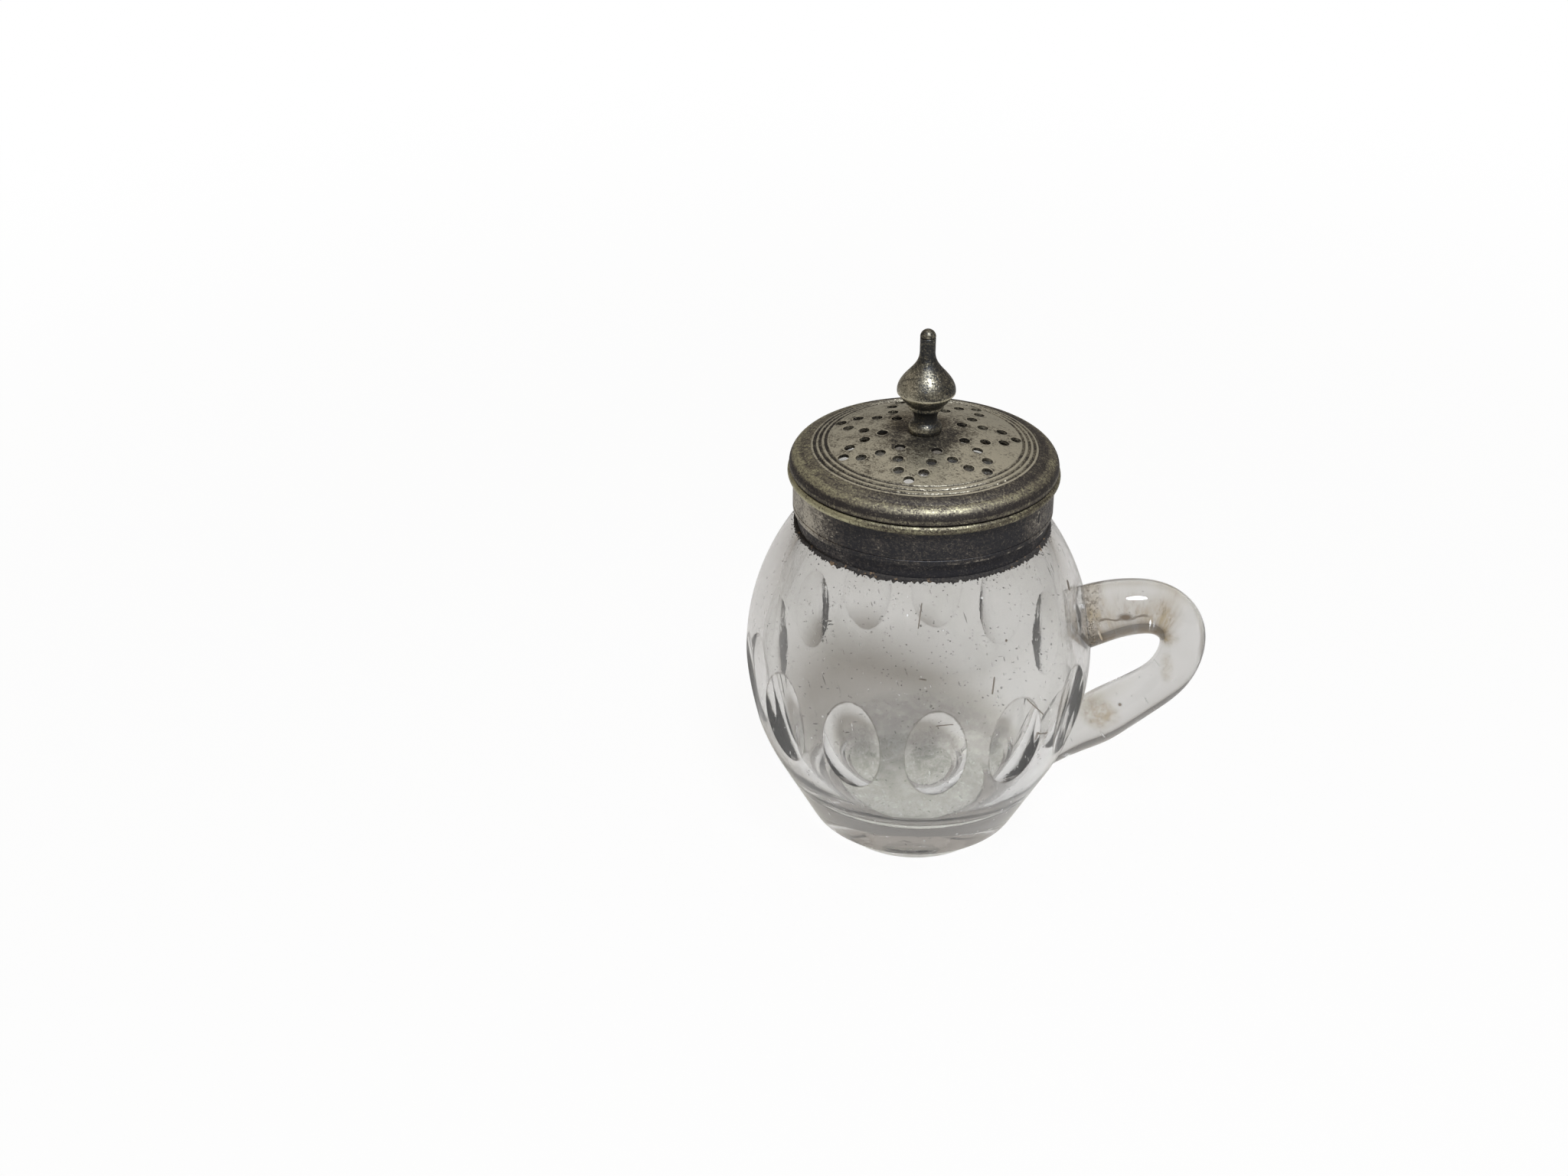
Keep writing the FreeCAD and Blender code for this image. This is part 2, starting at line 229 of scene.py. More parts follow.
def colour(value):
    """A link stays as it is. Three numbers from 0 to 255, as a picture has them, become light."""
    if isinstance(value, Field):
        return value
    return [(c / 255 / 12.92 if c <= 10 else ((c / 255 + 0.055) / 1.055) ** 2.4) for c in value] + [1.0]


# %% [markdown]
# The real one stood on a pale table, and was then cut out on white. So the camera sees a white
# floor with a faint shadow, while the glass and the metal see the same floor as the pale grey that
# it has in daylight. The floor lies a hair under the foot, so the two faces don't fight.

# %% Floor
FLOOR_REACH = 1.6
FLOOR_DROP = 0.0001
CAMERA_WHITE = 0.94
MIRRORED_WHITE = 0.05
WHITE_FROM = (120.0, 450.0)

floor_bm = bmesh.new()
bmesh.ops.create_circle(floor_bm, cap_ends=True, segments=64, radius=FLOOR_REACH)
bmesh.ops.translate(floor_bm, verts=floor_bm.verts, vec=(0, 0, -FLOOR_DROP))
floor_mesh = bpy.data.meshes.new("floor")
floor_bm.to_mesh(floor_mesh)
floor_bm.free()
floor = bpy.data.objects.new("floor", floor_mesh)
bpy.context.scene.collection.objects.link(floor)

table = Paint("pale_table")
lit = table.node("ShaderNodeBsdfDiffuse", None, {"Color": colour((215, 213, 209))})
white = table.node("ShaderNodeEmission", None, {"Color": (1, 1, 1, 1), "Strength": 1.0})
ray = table.node("ShaderNodeLightPath")
seen = Field(table, ray.outputs["Is Camera Ray"])
mirrored = Field(table, ray.outputs["Is Glossy Ray"]).most(Field(table, ray.outputs["Is Transmission Ray"]))
far = table.axes()[0].between(*WHITE_FROM)
share = seen * (far * (1 - CAMERA_WHITE) + CAMERA_WHITE) + mirrored * MIRRORED_WHITE
mixed = table.field("ShaderNodeMixShader", None,
                    {0: share, 1: Field(table, lit.outputs[0]), 2: Field(table, white.outputs[0])})
table.node("ShaderNodeOutputMaterial", None, {0: mixed})
floor.data.materials.append(table.block)

# %% [markdown]
# One soft lamp in front, high up and a little to the right, is the main light. It throws the cover's
# shadow on the table just behind the glass, where the picture shows it through the barrel. A broad
# sky, warmer than the lamp, is bright overhead and dimmer near the horizon. It fills the shadows, and
# gives round metal its dark and light bands.

# %% Lamp and sky
SKY_TOP = (1.0, 0.90, 0.80)
SKY_LOW = (0.42, 0.395, 0.37)
SKY_STRENGTH = 0.44
LAMP_PLACE = Vector((0.105, -0.30, 0.65))
LAMP_SIDE = 0.18
LAMP_POWER = 4.2
LAMP_COLOUR = (0.95, 1.0, 1.08)

world = bpy.data.worlds.new("sky")
bpy.context.scene.world = world
sky = Paint("sky", world)
direction = sky.node("ShaderNodeSeparateXYZ", None, {0: sky.field("ShaderNodeTexCoord", output="Generated")})
height = Field(sky, direction.outputs[2]).between(0.0, 0.9)
tint = sky.field("ShaderNodeMix", {"data_type": "RGBA"}, {0: height, 6: (*SKY_LOW, 1), 7: (*SKY_TOP, 1)}, 2)
glow = sky.node("ShaderNodeBackground", None, {"Color": tint, "Strength": SKY_STRENGTH})
paper = sky.node("ShaderNodeBackground", None, {"Color": (1, 1, 1, 1), "Strength": 1.0})
sky_ray = sky.node("ShaderNodeLightPath")
sky_mixed = sky.field("ShaderNodeMixShader", None, {
    0: Field(sky, sky_ray.outputs["Is Camera Ray"]),
    1: Field(sky, glow.outputs[0]),
    2: Field(sky, paper.outputs[0]),
})
sky.node("ShaderNodeOutputWorld", None, {0: sky_mixed})

lamp_data = bpy.data.lights.new("soft_lamp", "AREA")
lamp_data.shape = "DISK"
lamp_data.size = LAMP_SIDE
lamp_data.energy = LAMP_POWER
lamp_data.color = LAMP_COLOUR
lamp = bpy.data.objects.new("soft_lamp", lamp_data)
lamp.location = LAMP_PLACE
lamp.rotation_euler = (LAMP_PLACE - Vector((0, 0, 0.04))).to_track_quat("Z", "Y").to_euler()
bpy.context.scene.collection.objects.link(lamp)
print("lamp at", tuple(round(c, 2) for c in LAMP_PLACE))

# %% [markdown]
# The glass is turned from one outline, as on a lathe. Each stretch of the outline is grown from its
# last point: a line by extruding it, and an arc by spinning it. All of it is drawn in millimetres,
# and brought to metres when the mesh is finished.


# %% Drawing an outline and turning it
class Outline:
    """A chain of edges in the plane Y = 0, grown from one point."""

    def __init__(self, r, z):
        self.bm = bmesh.new()
        self.tip = self.bm.verts.new((r, 0, z))

    def line(self, r, z, steps=1):
        start, end = self.tip.co.copy(), Vector((r, 0, z))
        for k in range(steps):
            self.tip = bmesh.ops.extrude_vert_indiv(self.bm, verts=[self.tip])["verts"][0]
            self.tip.co = start.lerp(end, (k + 1) / steps)
        return self

    def arc(self, centre, turn, steps):
        """Turns about centre, with the sun as seen from the front, by turn degrees."""
        grown = bmesh.ops.spin(self.bm, geom=[self.tip], cent=(centre[0], 0, centre[1]), axis=(0, 1, 0),
                               angle=radians(turn), steps=steps, use_duplicate=False)
        self.tip = grown["geom_last"][0]
        return self

    def turned(self, steps, sectors):
        """Sweeps the chain round the Z axis: one sector is spun, and copies of it close the round."""
        chain = self.bm.verts[:] + self.bm.edges[:]
        bmesh.ops.spin(self.bm, geom=chain, cent=(0, 0, 0), axis=(0, 0, 1), angle=radians(360 / sectors),
                       steps=steps, use_duplicate=False)
        sector = self.bm.verts[:] + self.bm.edges[:] + self.bm.faces[:]
        for k in range(1, sectors):
            copied = bmesh.ops.duplicate(self.bm, geom=sector)["geom"]
            verts = [item for item in copied if isinstance(item, bmesh.types.BMVert)]
            bmesh.ops.rotate(self.bm, cent=(0, 0, 0), matrix=Matrix.Rotation(2 * pi * k / sectors, 3, "Z"), verts=verts)
        bmesh.ops.remove_doubles(self.bm, verts=self.bm.verts, dist=1e-3)
        bmesh.ops.recalc_face_normals(self.bm, faces=self.bm.faces)
        return self.bm


def piece(name, bm, material, body, stands_for=(), crease=25):
    """Turns a mesh in millimetres into a finished piece that rides on a body."""
    bmesh.ops.scale(bm, vec=(0.001, 0.001, 0.001), verts=bm.verts)
    mesh = bpy.data.meshes.new(name)
    bm.to_mesh(mesh)
    bm.free()
    mesh.shade_smooth()
    mesh.set_sharp_from_angle(angle=radians(crease))
    mesh.materials.append(material)
    made = bpy.data.objects.new(name, mesh)
    bpy.context.scene.collection.objects.link(made)
    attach(made, body)
    if stands_for:
        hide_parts(*stands_for)
    triangles = sum(len(face.vertices) - 2 for face in mesh.polygons)
    print(name, triangles, "triangles")
    return made


# %% [markdown]
# The barrel's side is one long arc, and twelve ovals were ground into it by the round edge of a wheel.
# Both the barrel's mesh and its finish need these numbers: the first for the cuts, and the second for
# the fine dark line along the edge of each cut.

# %% Measures of the barrel
BELLY_ARC_R = 38.0
BELLY_ARC_X = -10.0
BELLY_Z = 33.0
BELLY_R = BELLY_ARC_R + BELLY_ARC_X
STATIONS = 13
CUT_Z = 29.5
CUT_HEIGHT = 16.4
CUT_WIDTH = 9.8
CUT_DEPTH = 1.3


def oval_wheel(width, tall, depth, z):
    """Centre, swing and edge radius of a wheel that cuts an oval of this size at azimuth 0."""
    whole = 1 / (2 * depth / (tall / 2) ** 2 - 1 / BELLY_ARC_R)
    edge = 1 / (2 * depth / (width / 2) ** 2 - 1 / BELLY_R)
    lean = asin((z - BELLY_Z) / BELLY_ARC_R)
    out = Vector((cos(lean), 0, sin(lean)))
    surface = Vector((BELLY_ARC_X, 0, BELLY_Z)) + out * BELLY_ARC_R
    return surface + out * (whole - depth), whole - edge, edge


WHEEL = oval_wheel(CUT_WIDTH, CUT_HEIGHT, CUT_DEPTH, CUT_Z)
print("wheel of", round(WHEEL[1] + WHEEL[2], 1), "mm, with an edge of", round(WHEEL[2], 1))

# %% [markdown]
# Old glass is clear, but never clean: it has a grey cast in the thick places, hairline scratches,
# dark specks, and a thin haze of wear. The specks and scratches darken the colour, and the haze and
# the ring on which it has always stood are rougher. Real glass gathers light behind it, which a path
# tracer is slow to find. So the lamps' light goes straight through, and loses a little at each face.

# %% Glass
GLASS_IOR = 1.5
CLEAR_SHARE = 0.972


def scratches(paint, worn):
    """Fine dark marks of wear, and pale ones, each from 0 to 1."""
    long_marks = paint.dashes((0.4, 0.4, 3.6), 0.035 * worn, 1, (25, 20, 0), 0.38)
    short_marks = paint.dashes((0.4, 0.4, 1.6), 0.05 * worn, 2, (-50, 30, 20), 0.4)
    flat_marks = paint.dashes((2.0, 0.4, 0.4), 0.035 * worn, 3, (0, 25, 30), 0.38)
    specks = paint.dashes(2.4, 0.14, 4, width=0.12)
    pale_marks = paint.dashes((0.4, 0.4, 2.6), 0.035 * worn, 16, (-15, 10, 0), 0.4)
    pale_specks = paint.dashes(1.8, 0.1, 17, width=0.15)
    return long_marks.most(short_marks).most(flat_marks).most(specks), pale_marks.most(pale_specks)


def clear_glass(name, tone, worn, darkening, base_grey):
    """Clear old glass. The function passed in gives two masks: where crumbs of dirt and dark lines sit, and where brown
    is painted in as refraction of the surroundings seen through the glass.
    """
    paint = Paint(name)
    r, z, x, y = paint.axes()
    dark_marks, pale_marks = scratches(paint, worn)
    haze = paint.noise(9.0, 5, 3.0).between(0.45, 0.75)
    foot = z.between(0.5, 0.1)
    scuffs = paint.noise(0.3, 6, 2.0).between(0.5, 0.65)
    residue = z.between(13.0, 11.0) * z.between(9.8, 10.2) * r.between(19.0, 18.4)
    residue = residue * paint.noise(2.5, 13, 4.0, 0.6).between(0.25, 0.6) * base_grey
    dirt_and_dark_lines, painted_refraction = darkening(paint, r, z, x, y)
    tint = paint.blend(haze, (tone, tone, tone - 1), (tone - 6, tone - 6, tone - 8))
    tint = paint.blend(z.between(1.0, 0.4) * base_grey, tint, (198, 200, 195))
    tint = paint.blend(residue, tint, (190, 188, 186))
    # Brown painted refraction on the handle: the brown surroundings that the thick rod shows, painted into the glass's
    # colour.
    tint = paint.blend(painted_refraction, tint, (158, 130, 68))
    # Dirt and dark lines, among them a painted dark line of refraction on the handle's upper arm.
    tint = paint.blend(dirt_and_dark_lines, tint, (84, 66, 46))
    tint = paint.blend(dark_marks * 0.85, tint, (40, 38, 36))
    rough = (foot * scuffs * 0.35 + dirt_and_dark_lines * 0.4 + residue * 0.15 + pale_marks * 0.5).clamped()
    ripple = paint.noise(7.0, 8, 1.0) * 0.05 + paint.noise(0.6, 9, 2.0) * 0.002 - dark_marks * 0.008
    return paint.finish(lets_through=(233, 232, 229), Base_Color=tint, Roughness=rough, IOR=GLASS_IOR,
                        Metallic=pale_marks * 0.7, Transmission_Weight=CLEAR_SHARE,
                        Normal=paint.bump(ripple, 1.0))


# %% [markdown]
# The handle was stuck on hot, and the crease round its root can't be wiped, so brown dirt has stayed
# there. Under the upper arm, at the bend and beside the tail, brown patches and a wavy dark line are
# painted refraction and shade: the brown and dark that the thick rod shows of its surroundings,
# painted into the glass's colour.

# %% Dirt, dark lines and painted refraction on the glass
ROOT_Z = 39.8
ROOT_RING = 5.3


def root_crease(paint, r, z, x, y):
    up = z - ROOT_Z
    ring = ((y * y + up * up).root() - ROOT_RING).size().between(1.7, 0.3)
    crumbs = paint.noise(0.6, 7, 4.0, 0.75).between(0.46, 0.6)
    return ring * x.between(23.5, 25.5) * x.between(29.6, 28.0) * crumbs * 0.8


def oval_edges(paint, r, z, x, y):
    """The sharp edge of each ground oval: both the barrel's skin and the wheel pass through it."""
    azimuth = y.maths("ARCTAN2", y, x)
    turn = azimuth.maths("WRAP", azimuth, pi / STATIONS, -pi / STATIONS)
    along, across = r * turn.maths("COSINE", turn), r * turn.maths("SINE", turn)
    centre, swing, edge = WHEEL
    out, up = along - centre.x, z - centre.z
    around = (out * out + up * up).root() - swing
    from_wheel = (around * around + across * across).root() - edge
    rise = z - BELLY_Z
    from_skin = (BELLY_ARC_R ** 2 - rise * rise).root() + BELLY_ARC_X - r
    line = (from_wheel.size() + from_skin.size()).between(0.11, 0.03)
    return line * azimuth.size().between(0.2, 0.24) * z.between(18.0, 19.0)


NICKS = (
    ((26, 42.1), (25, 39.7), 0.19),
    ((1, 53.4), (0, 50.2), 0.15),
    ((7, 34.8), (12, 35.2), 0.16),
    ((38, 37.0), (45, 33.1), 0.14),
    ((44, 29.6), (48, 28.9), 0.17),
    ((1, 42.9), (3, 42.8), 0.15),
    ((32, 47.1), (32, 47.1), 0.26),
    ((55, 26.3), (55, 25.0), 0.45),
    ((73, 49.6), (72, 48.9), 0.45),
)


def nicks(paint, r, z, x, y):
    """The scratches and chips that stand out, each a line from one (degrees from the front, height) to another."""
    round_it = x.maths("ARCTAN2", x, y * -1) * BELLY_R
    ragged = paint.noise(0.25, 61, 2.0) * 0.14
    found = None
    for start, end, width in NICKS:
        (u, v), (u_end, v_end) = ((radians(angle) * BELLY_R, height) for angle, height in (start, end))
        run, rise = u_end - u, v_end - v
        length = max(run * run + rise * rise, 0.01)
        across, up = round_it - u, z - v
        along = ((across * run + up * rise) / length).clamped()
        across, up = across - along * run, up - along * rise
        near = (across * across + up * up).root() - width + 0.05
        mark = (near + ragged).between(0.12, 0.04)
        found = mark if found is None else found.most(mark)
    skin = (BELLY_ARC_R ** 2 - (z - BELLY_Z) * (z - BELLY_Z)).root() + BELLY_ARC_X
    return found * (skin - r).size().between(1.7, 1.4)


def barrel_dirt_and_lines(paint, r, z, x, y):
    # Each oval's edge gets a fine dark line that comes and goes and is fainter on the back half. Dirt sits in the
    # root's crease, and the nicks are marked.
    kept = (paint.noise(1.4, 19, 3.0).between(0.3, 0.6) * 0.45 + 0.15) * (1 - y.between(0.0, 12.0) * 0.65)
    darkening = root_crease(paint, r, z, x, y).most(oval_edges(paint, r, z, x, y) * kept)
    return darkening.most(nicks(paint, r, z, x, y) * 0.93), 0.0


def spot(x, z, place, size):
    """A soft round or oval spot, seen from the front."""
    across, upright = (x - place[0]) / size[0], (z - place[1]) / size[1]
    return (across * across + upright * upright).root().between(1.15, 0.35)


# Brown patches on the handle, which are painted refraction and shade of its surroundings: (x, z) centre, (x, z) size
# and weight, in millimetres.
PAINTED_REFRACTION_SPOTS = (
    ((38.4, 38.0), (3.4, 2.6), 0.95),
    ((30.0, 36.9), (4.0, 2.8), 0.95),
    ((35.0, 38.8), (4.4, 1.8), 0.7),
    ((30.1, 23.2), (3.6, 2.8), 0.75),
    ((40.3, 32.2), (1.2, 2.8), 0.6),
)


# The handle's brown patches are painted refraction and shade, and the darker crumbs inside them are painted too. Only
# the crumbs in the root's crease are dirt.
def handle_dirt_and_refraction(paint, r, z, x, y):
    front = y.between(0.0, -1.5)
    cloudy = paint.noise(1.6, 14, 4.0, 0.65).between(0.3, 0.65)
    painted_refraction = cloudy * 0.0
    for place, size, weight in PAINTED_REFRACTION_SPOTS:
        painted_refraction = painted_refraction.most(spot(x, z, place, size) * (cloudy * 0.7 + 0.3) * weight)
    # A wavy dark line along the upper arm, on its front half only, is painted refraction: the dark band that the thick
    # rod shows of its surroundings.
    waver = (paint.noise(2.0, 15, 3.0) - 0.5) * 1.6
    painted_refraction_line = (z - 41.6 - (x - 29.0) * 0.1 + waver).size().between(0.32, 0.1) * x.between(28.0, 29.0) * x.between(37.5, 35.5)
    specks = spot(x, z, (33.2, 25.2), (0.4, 0.35)).most(spot(x, z, (32.8, 42.2), (1.6, 0.8)))
    crumbs = root_crease(paint, r, z, x, y).most(painted_refraction * paint.noise(0.5, 20, 3.0, 0.7).between(0.52, 0.66) * 0.6)
    return crumbs.most(painted_refraction_line * front * 0.85).most(specks * front * 0.97), painted_refraction


barrel_glass = clear_glass("barrel_glass", 245, 0.65, barrel_dirt_and_lines, 1.0)
handle_glass = clear_glass("handle_glass", 238, 0.35, handle_dirt_and_refraction, 0.0)

# %% [markdown]
# The barrel is thick at its base, with a shallow ground hollow under it. Its side is one long arc,
# inside and outside, and the neck stands on a small ledge. The outline starts under the foot, goes
# up the outside, over the neck's lip and down the inside. The number of steps round is a multiple
# of the 13 stations of the ground ovals, so that all the ovals get the same mesh.

# %% Barrel
STATION_STEPS = 24
SEAT_ANGLE = degrees(asin((56.19 - BELLY_Z) / BELLY_ARC_R))
INNER_ARC_R = 35.0
INNER_TOP_ANGLE = degrees(asin(sqrt(INNER_ARC_R ** 2 - 25.0 ** 2) / INNER_ARC_R))
PONTIL_R = 45.0
PONTIL_DEPTH = 0.6
CAVITY_FLOOR_Z = 10.5
FLOOR_CORNER_R = 7.0
FLOOR_CORNER_Z = CAVITY_FLOOR_Z + FLOOR_CORNER_R
FLOOR_CORNER_X = BELLY_ARC_X + sqrt((INNER_ARC_R - FLOOR_CORNER_R) ** 2 - (BELLY_Z - FLOOR_CORNER_Z) ** 2)
FLOOR_CORNER = (FLOOR_CORNER_X, FLOOR_CORNER_Z)
FLOOR_CORNER_ANGLE = degrees(atan2(BELLY_Z - FLOOR_CORNER[1], FLOOR_CORNER[0] - BELLY_ARC_X))

pontil_turn = degrees(acos((PONTIL_R - PONTIL_DEPTH) / PONTIL_R))
barrel_line = Outline(0, PONTIL_DEPTH)
barrel_line.arc((0, PONTIL_DEPTH - PONTIL_R), pontil_turn, 10)
barrel_line.line(8.4, 0, 2)
barrel_line.line(13.1, 0, 8)
barrel_line.arc((13.1, 0.5), -48, 4)
barrel_line.line(17.35, 3.6, 8)
barrel_line.line(17.75, 4.27, 2)
barrel_line.line(23.55, 15.16, 22)
barrel_line.arc((BELLY_ARC_X, BELLY_Z), -28 - SEAT_ANGLE, 84)
barrel_line.line(18.1, 56.19, 4)
barrel_line.arc((18.1, 56.69), 90, 4)
barrel_line.line(17.6, 61.79, 8)
barrel_line.arc((17.2, 61.79), -90, 4)
barrel_line.line(15.4, 62.19, 3)
barrel_line.arc((15.4, 61.79), -90, 4)
barrel_line.line(15.0, BELLY_Z + INNER_ARC_R * sin(radians(INNER_TOP_ANGLE)), 6)
barrel_line.arc((BELLY_ARC_X, BELLY_Z), INNER_TOP_ANGLE + FLOOR_CORNER_ANGLE, 60)
barrel_line.arc(FLOOR_CORNER, 90 - FLOOR_CORNER_ANGLE, 12)
barrel_line.line(0, CAVITY_FLOOR_Z, 14)
for vert in barrel_line.bm.verts:
    if vert.co.x < 1e-4:
        vert.co.x = 0
barrel_bm = barrel_line.turned(STATION_STEPS, STATIONS)
print("barrel", len(barrel_bm.verts), "points")

# %% [markdown]
# Each oval was ground by the round edge of a turning wheel, so it is the shape that a torus cuts out
# of the barrel. A boolean would leave slivers that show in glass. Instead the mesh's own points that
# lie nearest to the wheel's outline slide onto it, which gives the cut a clean sharp edge, and the
# points inside are pressed down onto the wheel.

# %% Grinding an oval
def wheel_distance(point, wheel):
    """How far a point is outside the wheel, or less than zero inside it."""
    centre, swing, edge = wheel
    across = hypot(point.x - centre.x, point.z - centre.z) - swing
    return hypot(across, point.y) - edge


def grind_oval(bm, skin, azimuth, wheel):
    """Presses one oval into the outside of the barrel, whose points at cutting height are the skin."""
    to_wheel = Matrix.Rotation(-azimuth, 3, "Z")
    from_wheel = Matrix.Rotation(azimuth, 3, "Z")
    facing = Vector((cos(azimuth), sin(azimuth), 0)) * 18
    local = {vert: to_wheel @ vert.co for vert in skin if vert.co.dot(facing) > 18 * 18}
    local = {vert: spot for vert, spot in local.items() if abs(spot.y) < 8}
    depth = {vert: wheel_distance(spot, wheel) for vert, spot in local.items()}
    slides = {}
    for edge in {edge for vert in local for edge in vert.link_edges}:
        a, b = edge.verts
        if a in depth and b in depth and depth[a] * depth[b] < 0:
            share = depth[a] / (depth[a] - depth[b])
            near = a if share < 0.5 else b
            reach = min(share, 1 - share) * edge.calc_length()
            if near not in slides or reach < slides[near][0]:
                slides[near] = (reach, local[a].lerp(local[b], share))
    for vert, (reach, spot) in slides.items():
        vert.co = from_wheel @ spot
    pressed = 0
    for vert, spot in local.items():
        if vert in slides or depth[vert] >= 0:
            continue
        for attempt in range(8):
            away = wheel_distance(spot, wheel)
            lean = hypot(spot.x, spot.y)
            spot = Vector((spot.x * (1 + away / lean), spot.y * (1 + away / lean), spot.z))
        vert.co = from_wheel @ spot
        pressed += 1
    corners = []
    for face in {face for vert in slides for face in vert.link_faces}:
        ends = [vert for vert in face.verts if vert in slides]
        others = [vert for vert in face.verts if vert not in slides]
        if len(face.verts) == 4 and len(ends) == 2 and len(others) == 2:
            if not any(ends[0] in edge.verts and ends[1] in edge.verts for edge in face.edges):
                if depth.get(others[0], 1) * depth.get(others[1], 1) < 0:
                    corners.append(ends)
    for ends in corners:
        bmesh.ops.connect_verts(bm, verts=ends)
    return pressed


def outside_r(z):
    """The barrel's outside radius at a height, on the long arc or on the cone below it."""
    cone = 23.55 - (15.16 - z) * sin(radians(28)) / cos(radians(28))
    return BELLY_ARC_X + sqrt(BELLY_ARC_R ** 2 - (z - BELLY_Z) ** 2) if z > 15.16 else cone


skin = [vert for vert in barrel_bm.verts
        if 14 < vert.co.z < 45 and hypot(vert.co.x, vert.co.y) > outside_r(vert.co.z) - 0.5]
pressed = 0
for station in range(1, STATIONS):
    pressed += grind_oval(barrel_bm, skin, 2 * pi * station / STATIONS, WHEEL)
print("points pressed into ovals", pressed)

# %% [markdown]
# A blown wall is never quite even. A slow wave on the inside makes what is seen through it swim a
# little. The outside stays true, because the ovals were ground on it.

# %% Uneven inside, and the finished barrel
INNER_WAVE = 0.16
INNER_WAVE_LENGTH = 14.0

for vert in barrel_bm.verts:
    spot = vert.co
    r = hypot(spot.x, spot.y)
    inside = 10.4 < spot.z < 57.5 and r < outside_r(spot.z) - 1.6
    if inside and r > 0.01:
        fade = min(1.0, (57.5 - spot.z) / 4)
        wave = noise.noise(spot / INNER_WAVE_LENGTH + Vector((5, 0, 2))) * INNER_WAVE * fade
        away = spot - Vector((0, 0, BELLY_Z))
        vert.co = spot + away.normalized() * wave
barrel = piece("barrel", barrel_bm, barrel_glass, "bottle", ["glass_body"], crease=11)

# %% [markdown]
# The handle was a hot rod of glass: pressed on at the top, bent over, and drawn down to a thin tail
# that clings to the barrel. A ring of points is pushed along the bends and copied at each step. Its
# hidden end sinks a little into the barrel, so no gap shows between the two.

# %% Handle
RING_POINTS = 56
SUNK = 0.25
RELAXED = 14
ARM_START = Vector((28.0 + 8.5 - 20.0 * sin(radians(25)), 0, 41.9 - 20.0 * (1 - cos(radians(25)))))
BENDS = [
    (20.0, 25.0, 14, 5.0, 4.4),
    (6.4, 90.0, 20, 4.4, 3.6),
    (11.0, 54.0, 16, 3.6, 3.6),
    (None, 11.0, 14, 3.6, 4.5),
    (-46.0, 20.0, 26, 4.5, 1.2),
]


def rod_stations():
    """Centre, heading and radius of the rod at each small step of its bends."""
    centre, heading = ARM_START.copy(), radians(25)
    stations = [(centre.copy(), heading, 5.0)]
    for bend_r, amount, steps, thick, thin in BENDS:
        for step in range(1, steps + 1):
            if bend_r is None:
                middle, run, turn = heading, amount / steps, 0.0
            else:
                turn = -radians(amount / steps) * (1 if bend_r > 0 else -1)
                middle, run = heading + turn / 2, 2 * abs(bend_r) * sin(abs(turn) / 2)
            centre = centre + Vector((cos(middle), 0, sin(middle))) * run
            heading += turn
            stations.append((centre.copy(), heading, thick + (thin - thick) * step / steps))
    for again in range(RELAXED):
        for k in range(1, len(stations) - 1):
            before, here, after = stations[k - 1:k + 2]
            stations[k] = ((before[0] + here[0] * 2 + after[0]) / 4, (before[1] + here[1] * 2 + after[1]) / 4,
                           (before[2] + here[2] * 2 + after[2]) / 4)
    return stations


def ring_matrix(centre, heading, radius):
    """Places a unit circle across the rod."""
    side = Vector((0, 1, 0))
    along = Vector((cos(heading), 0, sin(heading)))
    up = along.cross(side)
    turn = Matrix((side, up, along)).transposed().to_4x4()
    return Matrix.Translation(centre) @ turn @ Matrix.Diagonal((radius, radius, radius, 1))


def sink_into_barrel(spot, heading=None):
    """Keeps a point of the handle from going more than SUNK into the barrel."""
    for attempt in range(12):
        r = hypot(spot.x, spot.y)
        inside = outside_r(spot.z) - SUNK - r
        if heading is None and inside <= 0:
            break
        if heading is None:
            out = Vector((spot.x / r * (outside_r(spot.z) - BELLY_ARC_X), spot.y / r * (outside_r(spot.z) - BELLY_ARC_X),
                          max(spot.z, 15.16) - BELLY_Z)).normalized()
            spot = spot + out * inside
        else:
            spot = spot + heading * inside
    return spot


def whole_inside(spots):
    return all(hypot(spot.x, spot.y) < outside_r(spot.z) - SUNK for spot in spots)


handle_bm = bmesh.new()
ring = bmesh.ops.create_circle(handle_bm, cap_ends=False, segments=RING_POINTS, radius=1.0)["verts"]
circle = [vert.co.copy() for vert in ring]
first_ring, first_edges = ring[:], handle_bm.edges[:]
edges = first_edges[:]
stations = rod_stations()
for count, (centre, heading, radius) in enumerate(stations):
    place = ring_matrix(centre, heading, radius)
    spots = [place @ spot for spot in circle]
    if whole_inside(spots):
        break
    if count:
        grown = bmesh.ops.extrude_edge_only(handle_bm, edges=edges)["geom"]
        ring = [item for item in grown if isinstance(item, bmesh.types.BMVert)]
        edges = [item for item in grown if isinstance(item, bmesh.types.BMEdge)]
    for vert, spot in zip(ring, spots):
        vert.co = spot
print("handle", count, "rings; the last is", [round(c, 1) for c in stations[count][0]])

# %% [markdown]
# Both ends get a cap. The cap at the root shrinks in steps to a point, so that it can bend with the
# barrel when all its points slide back along the rod until they are just under the barrel's skin.

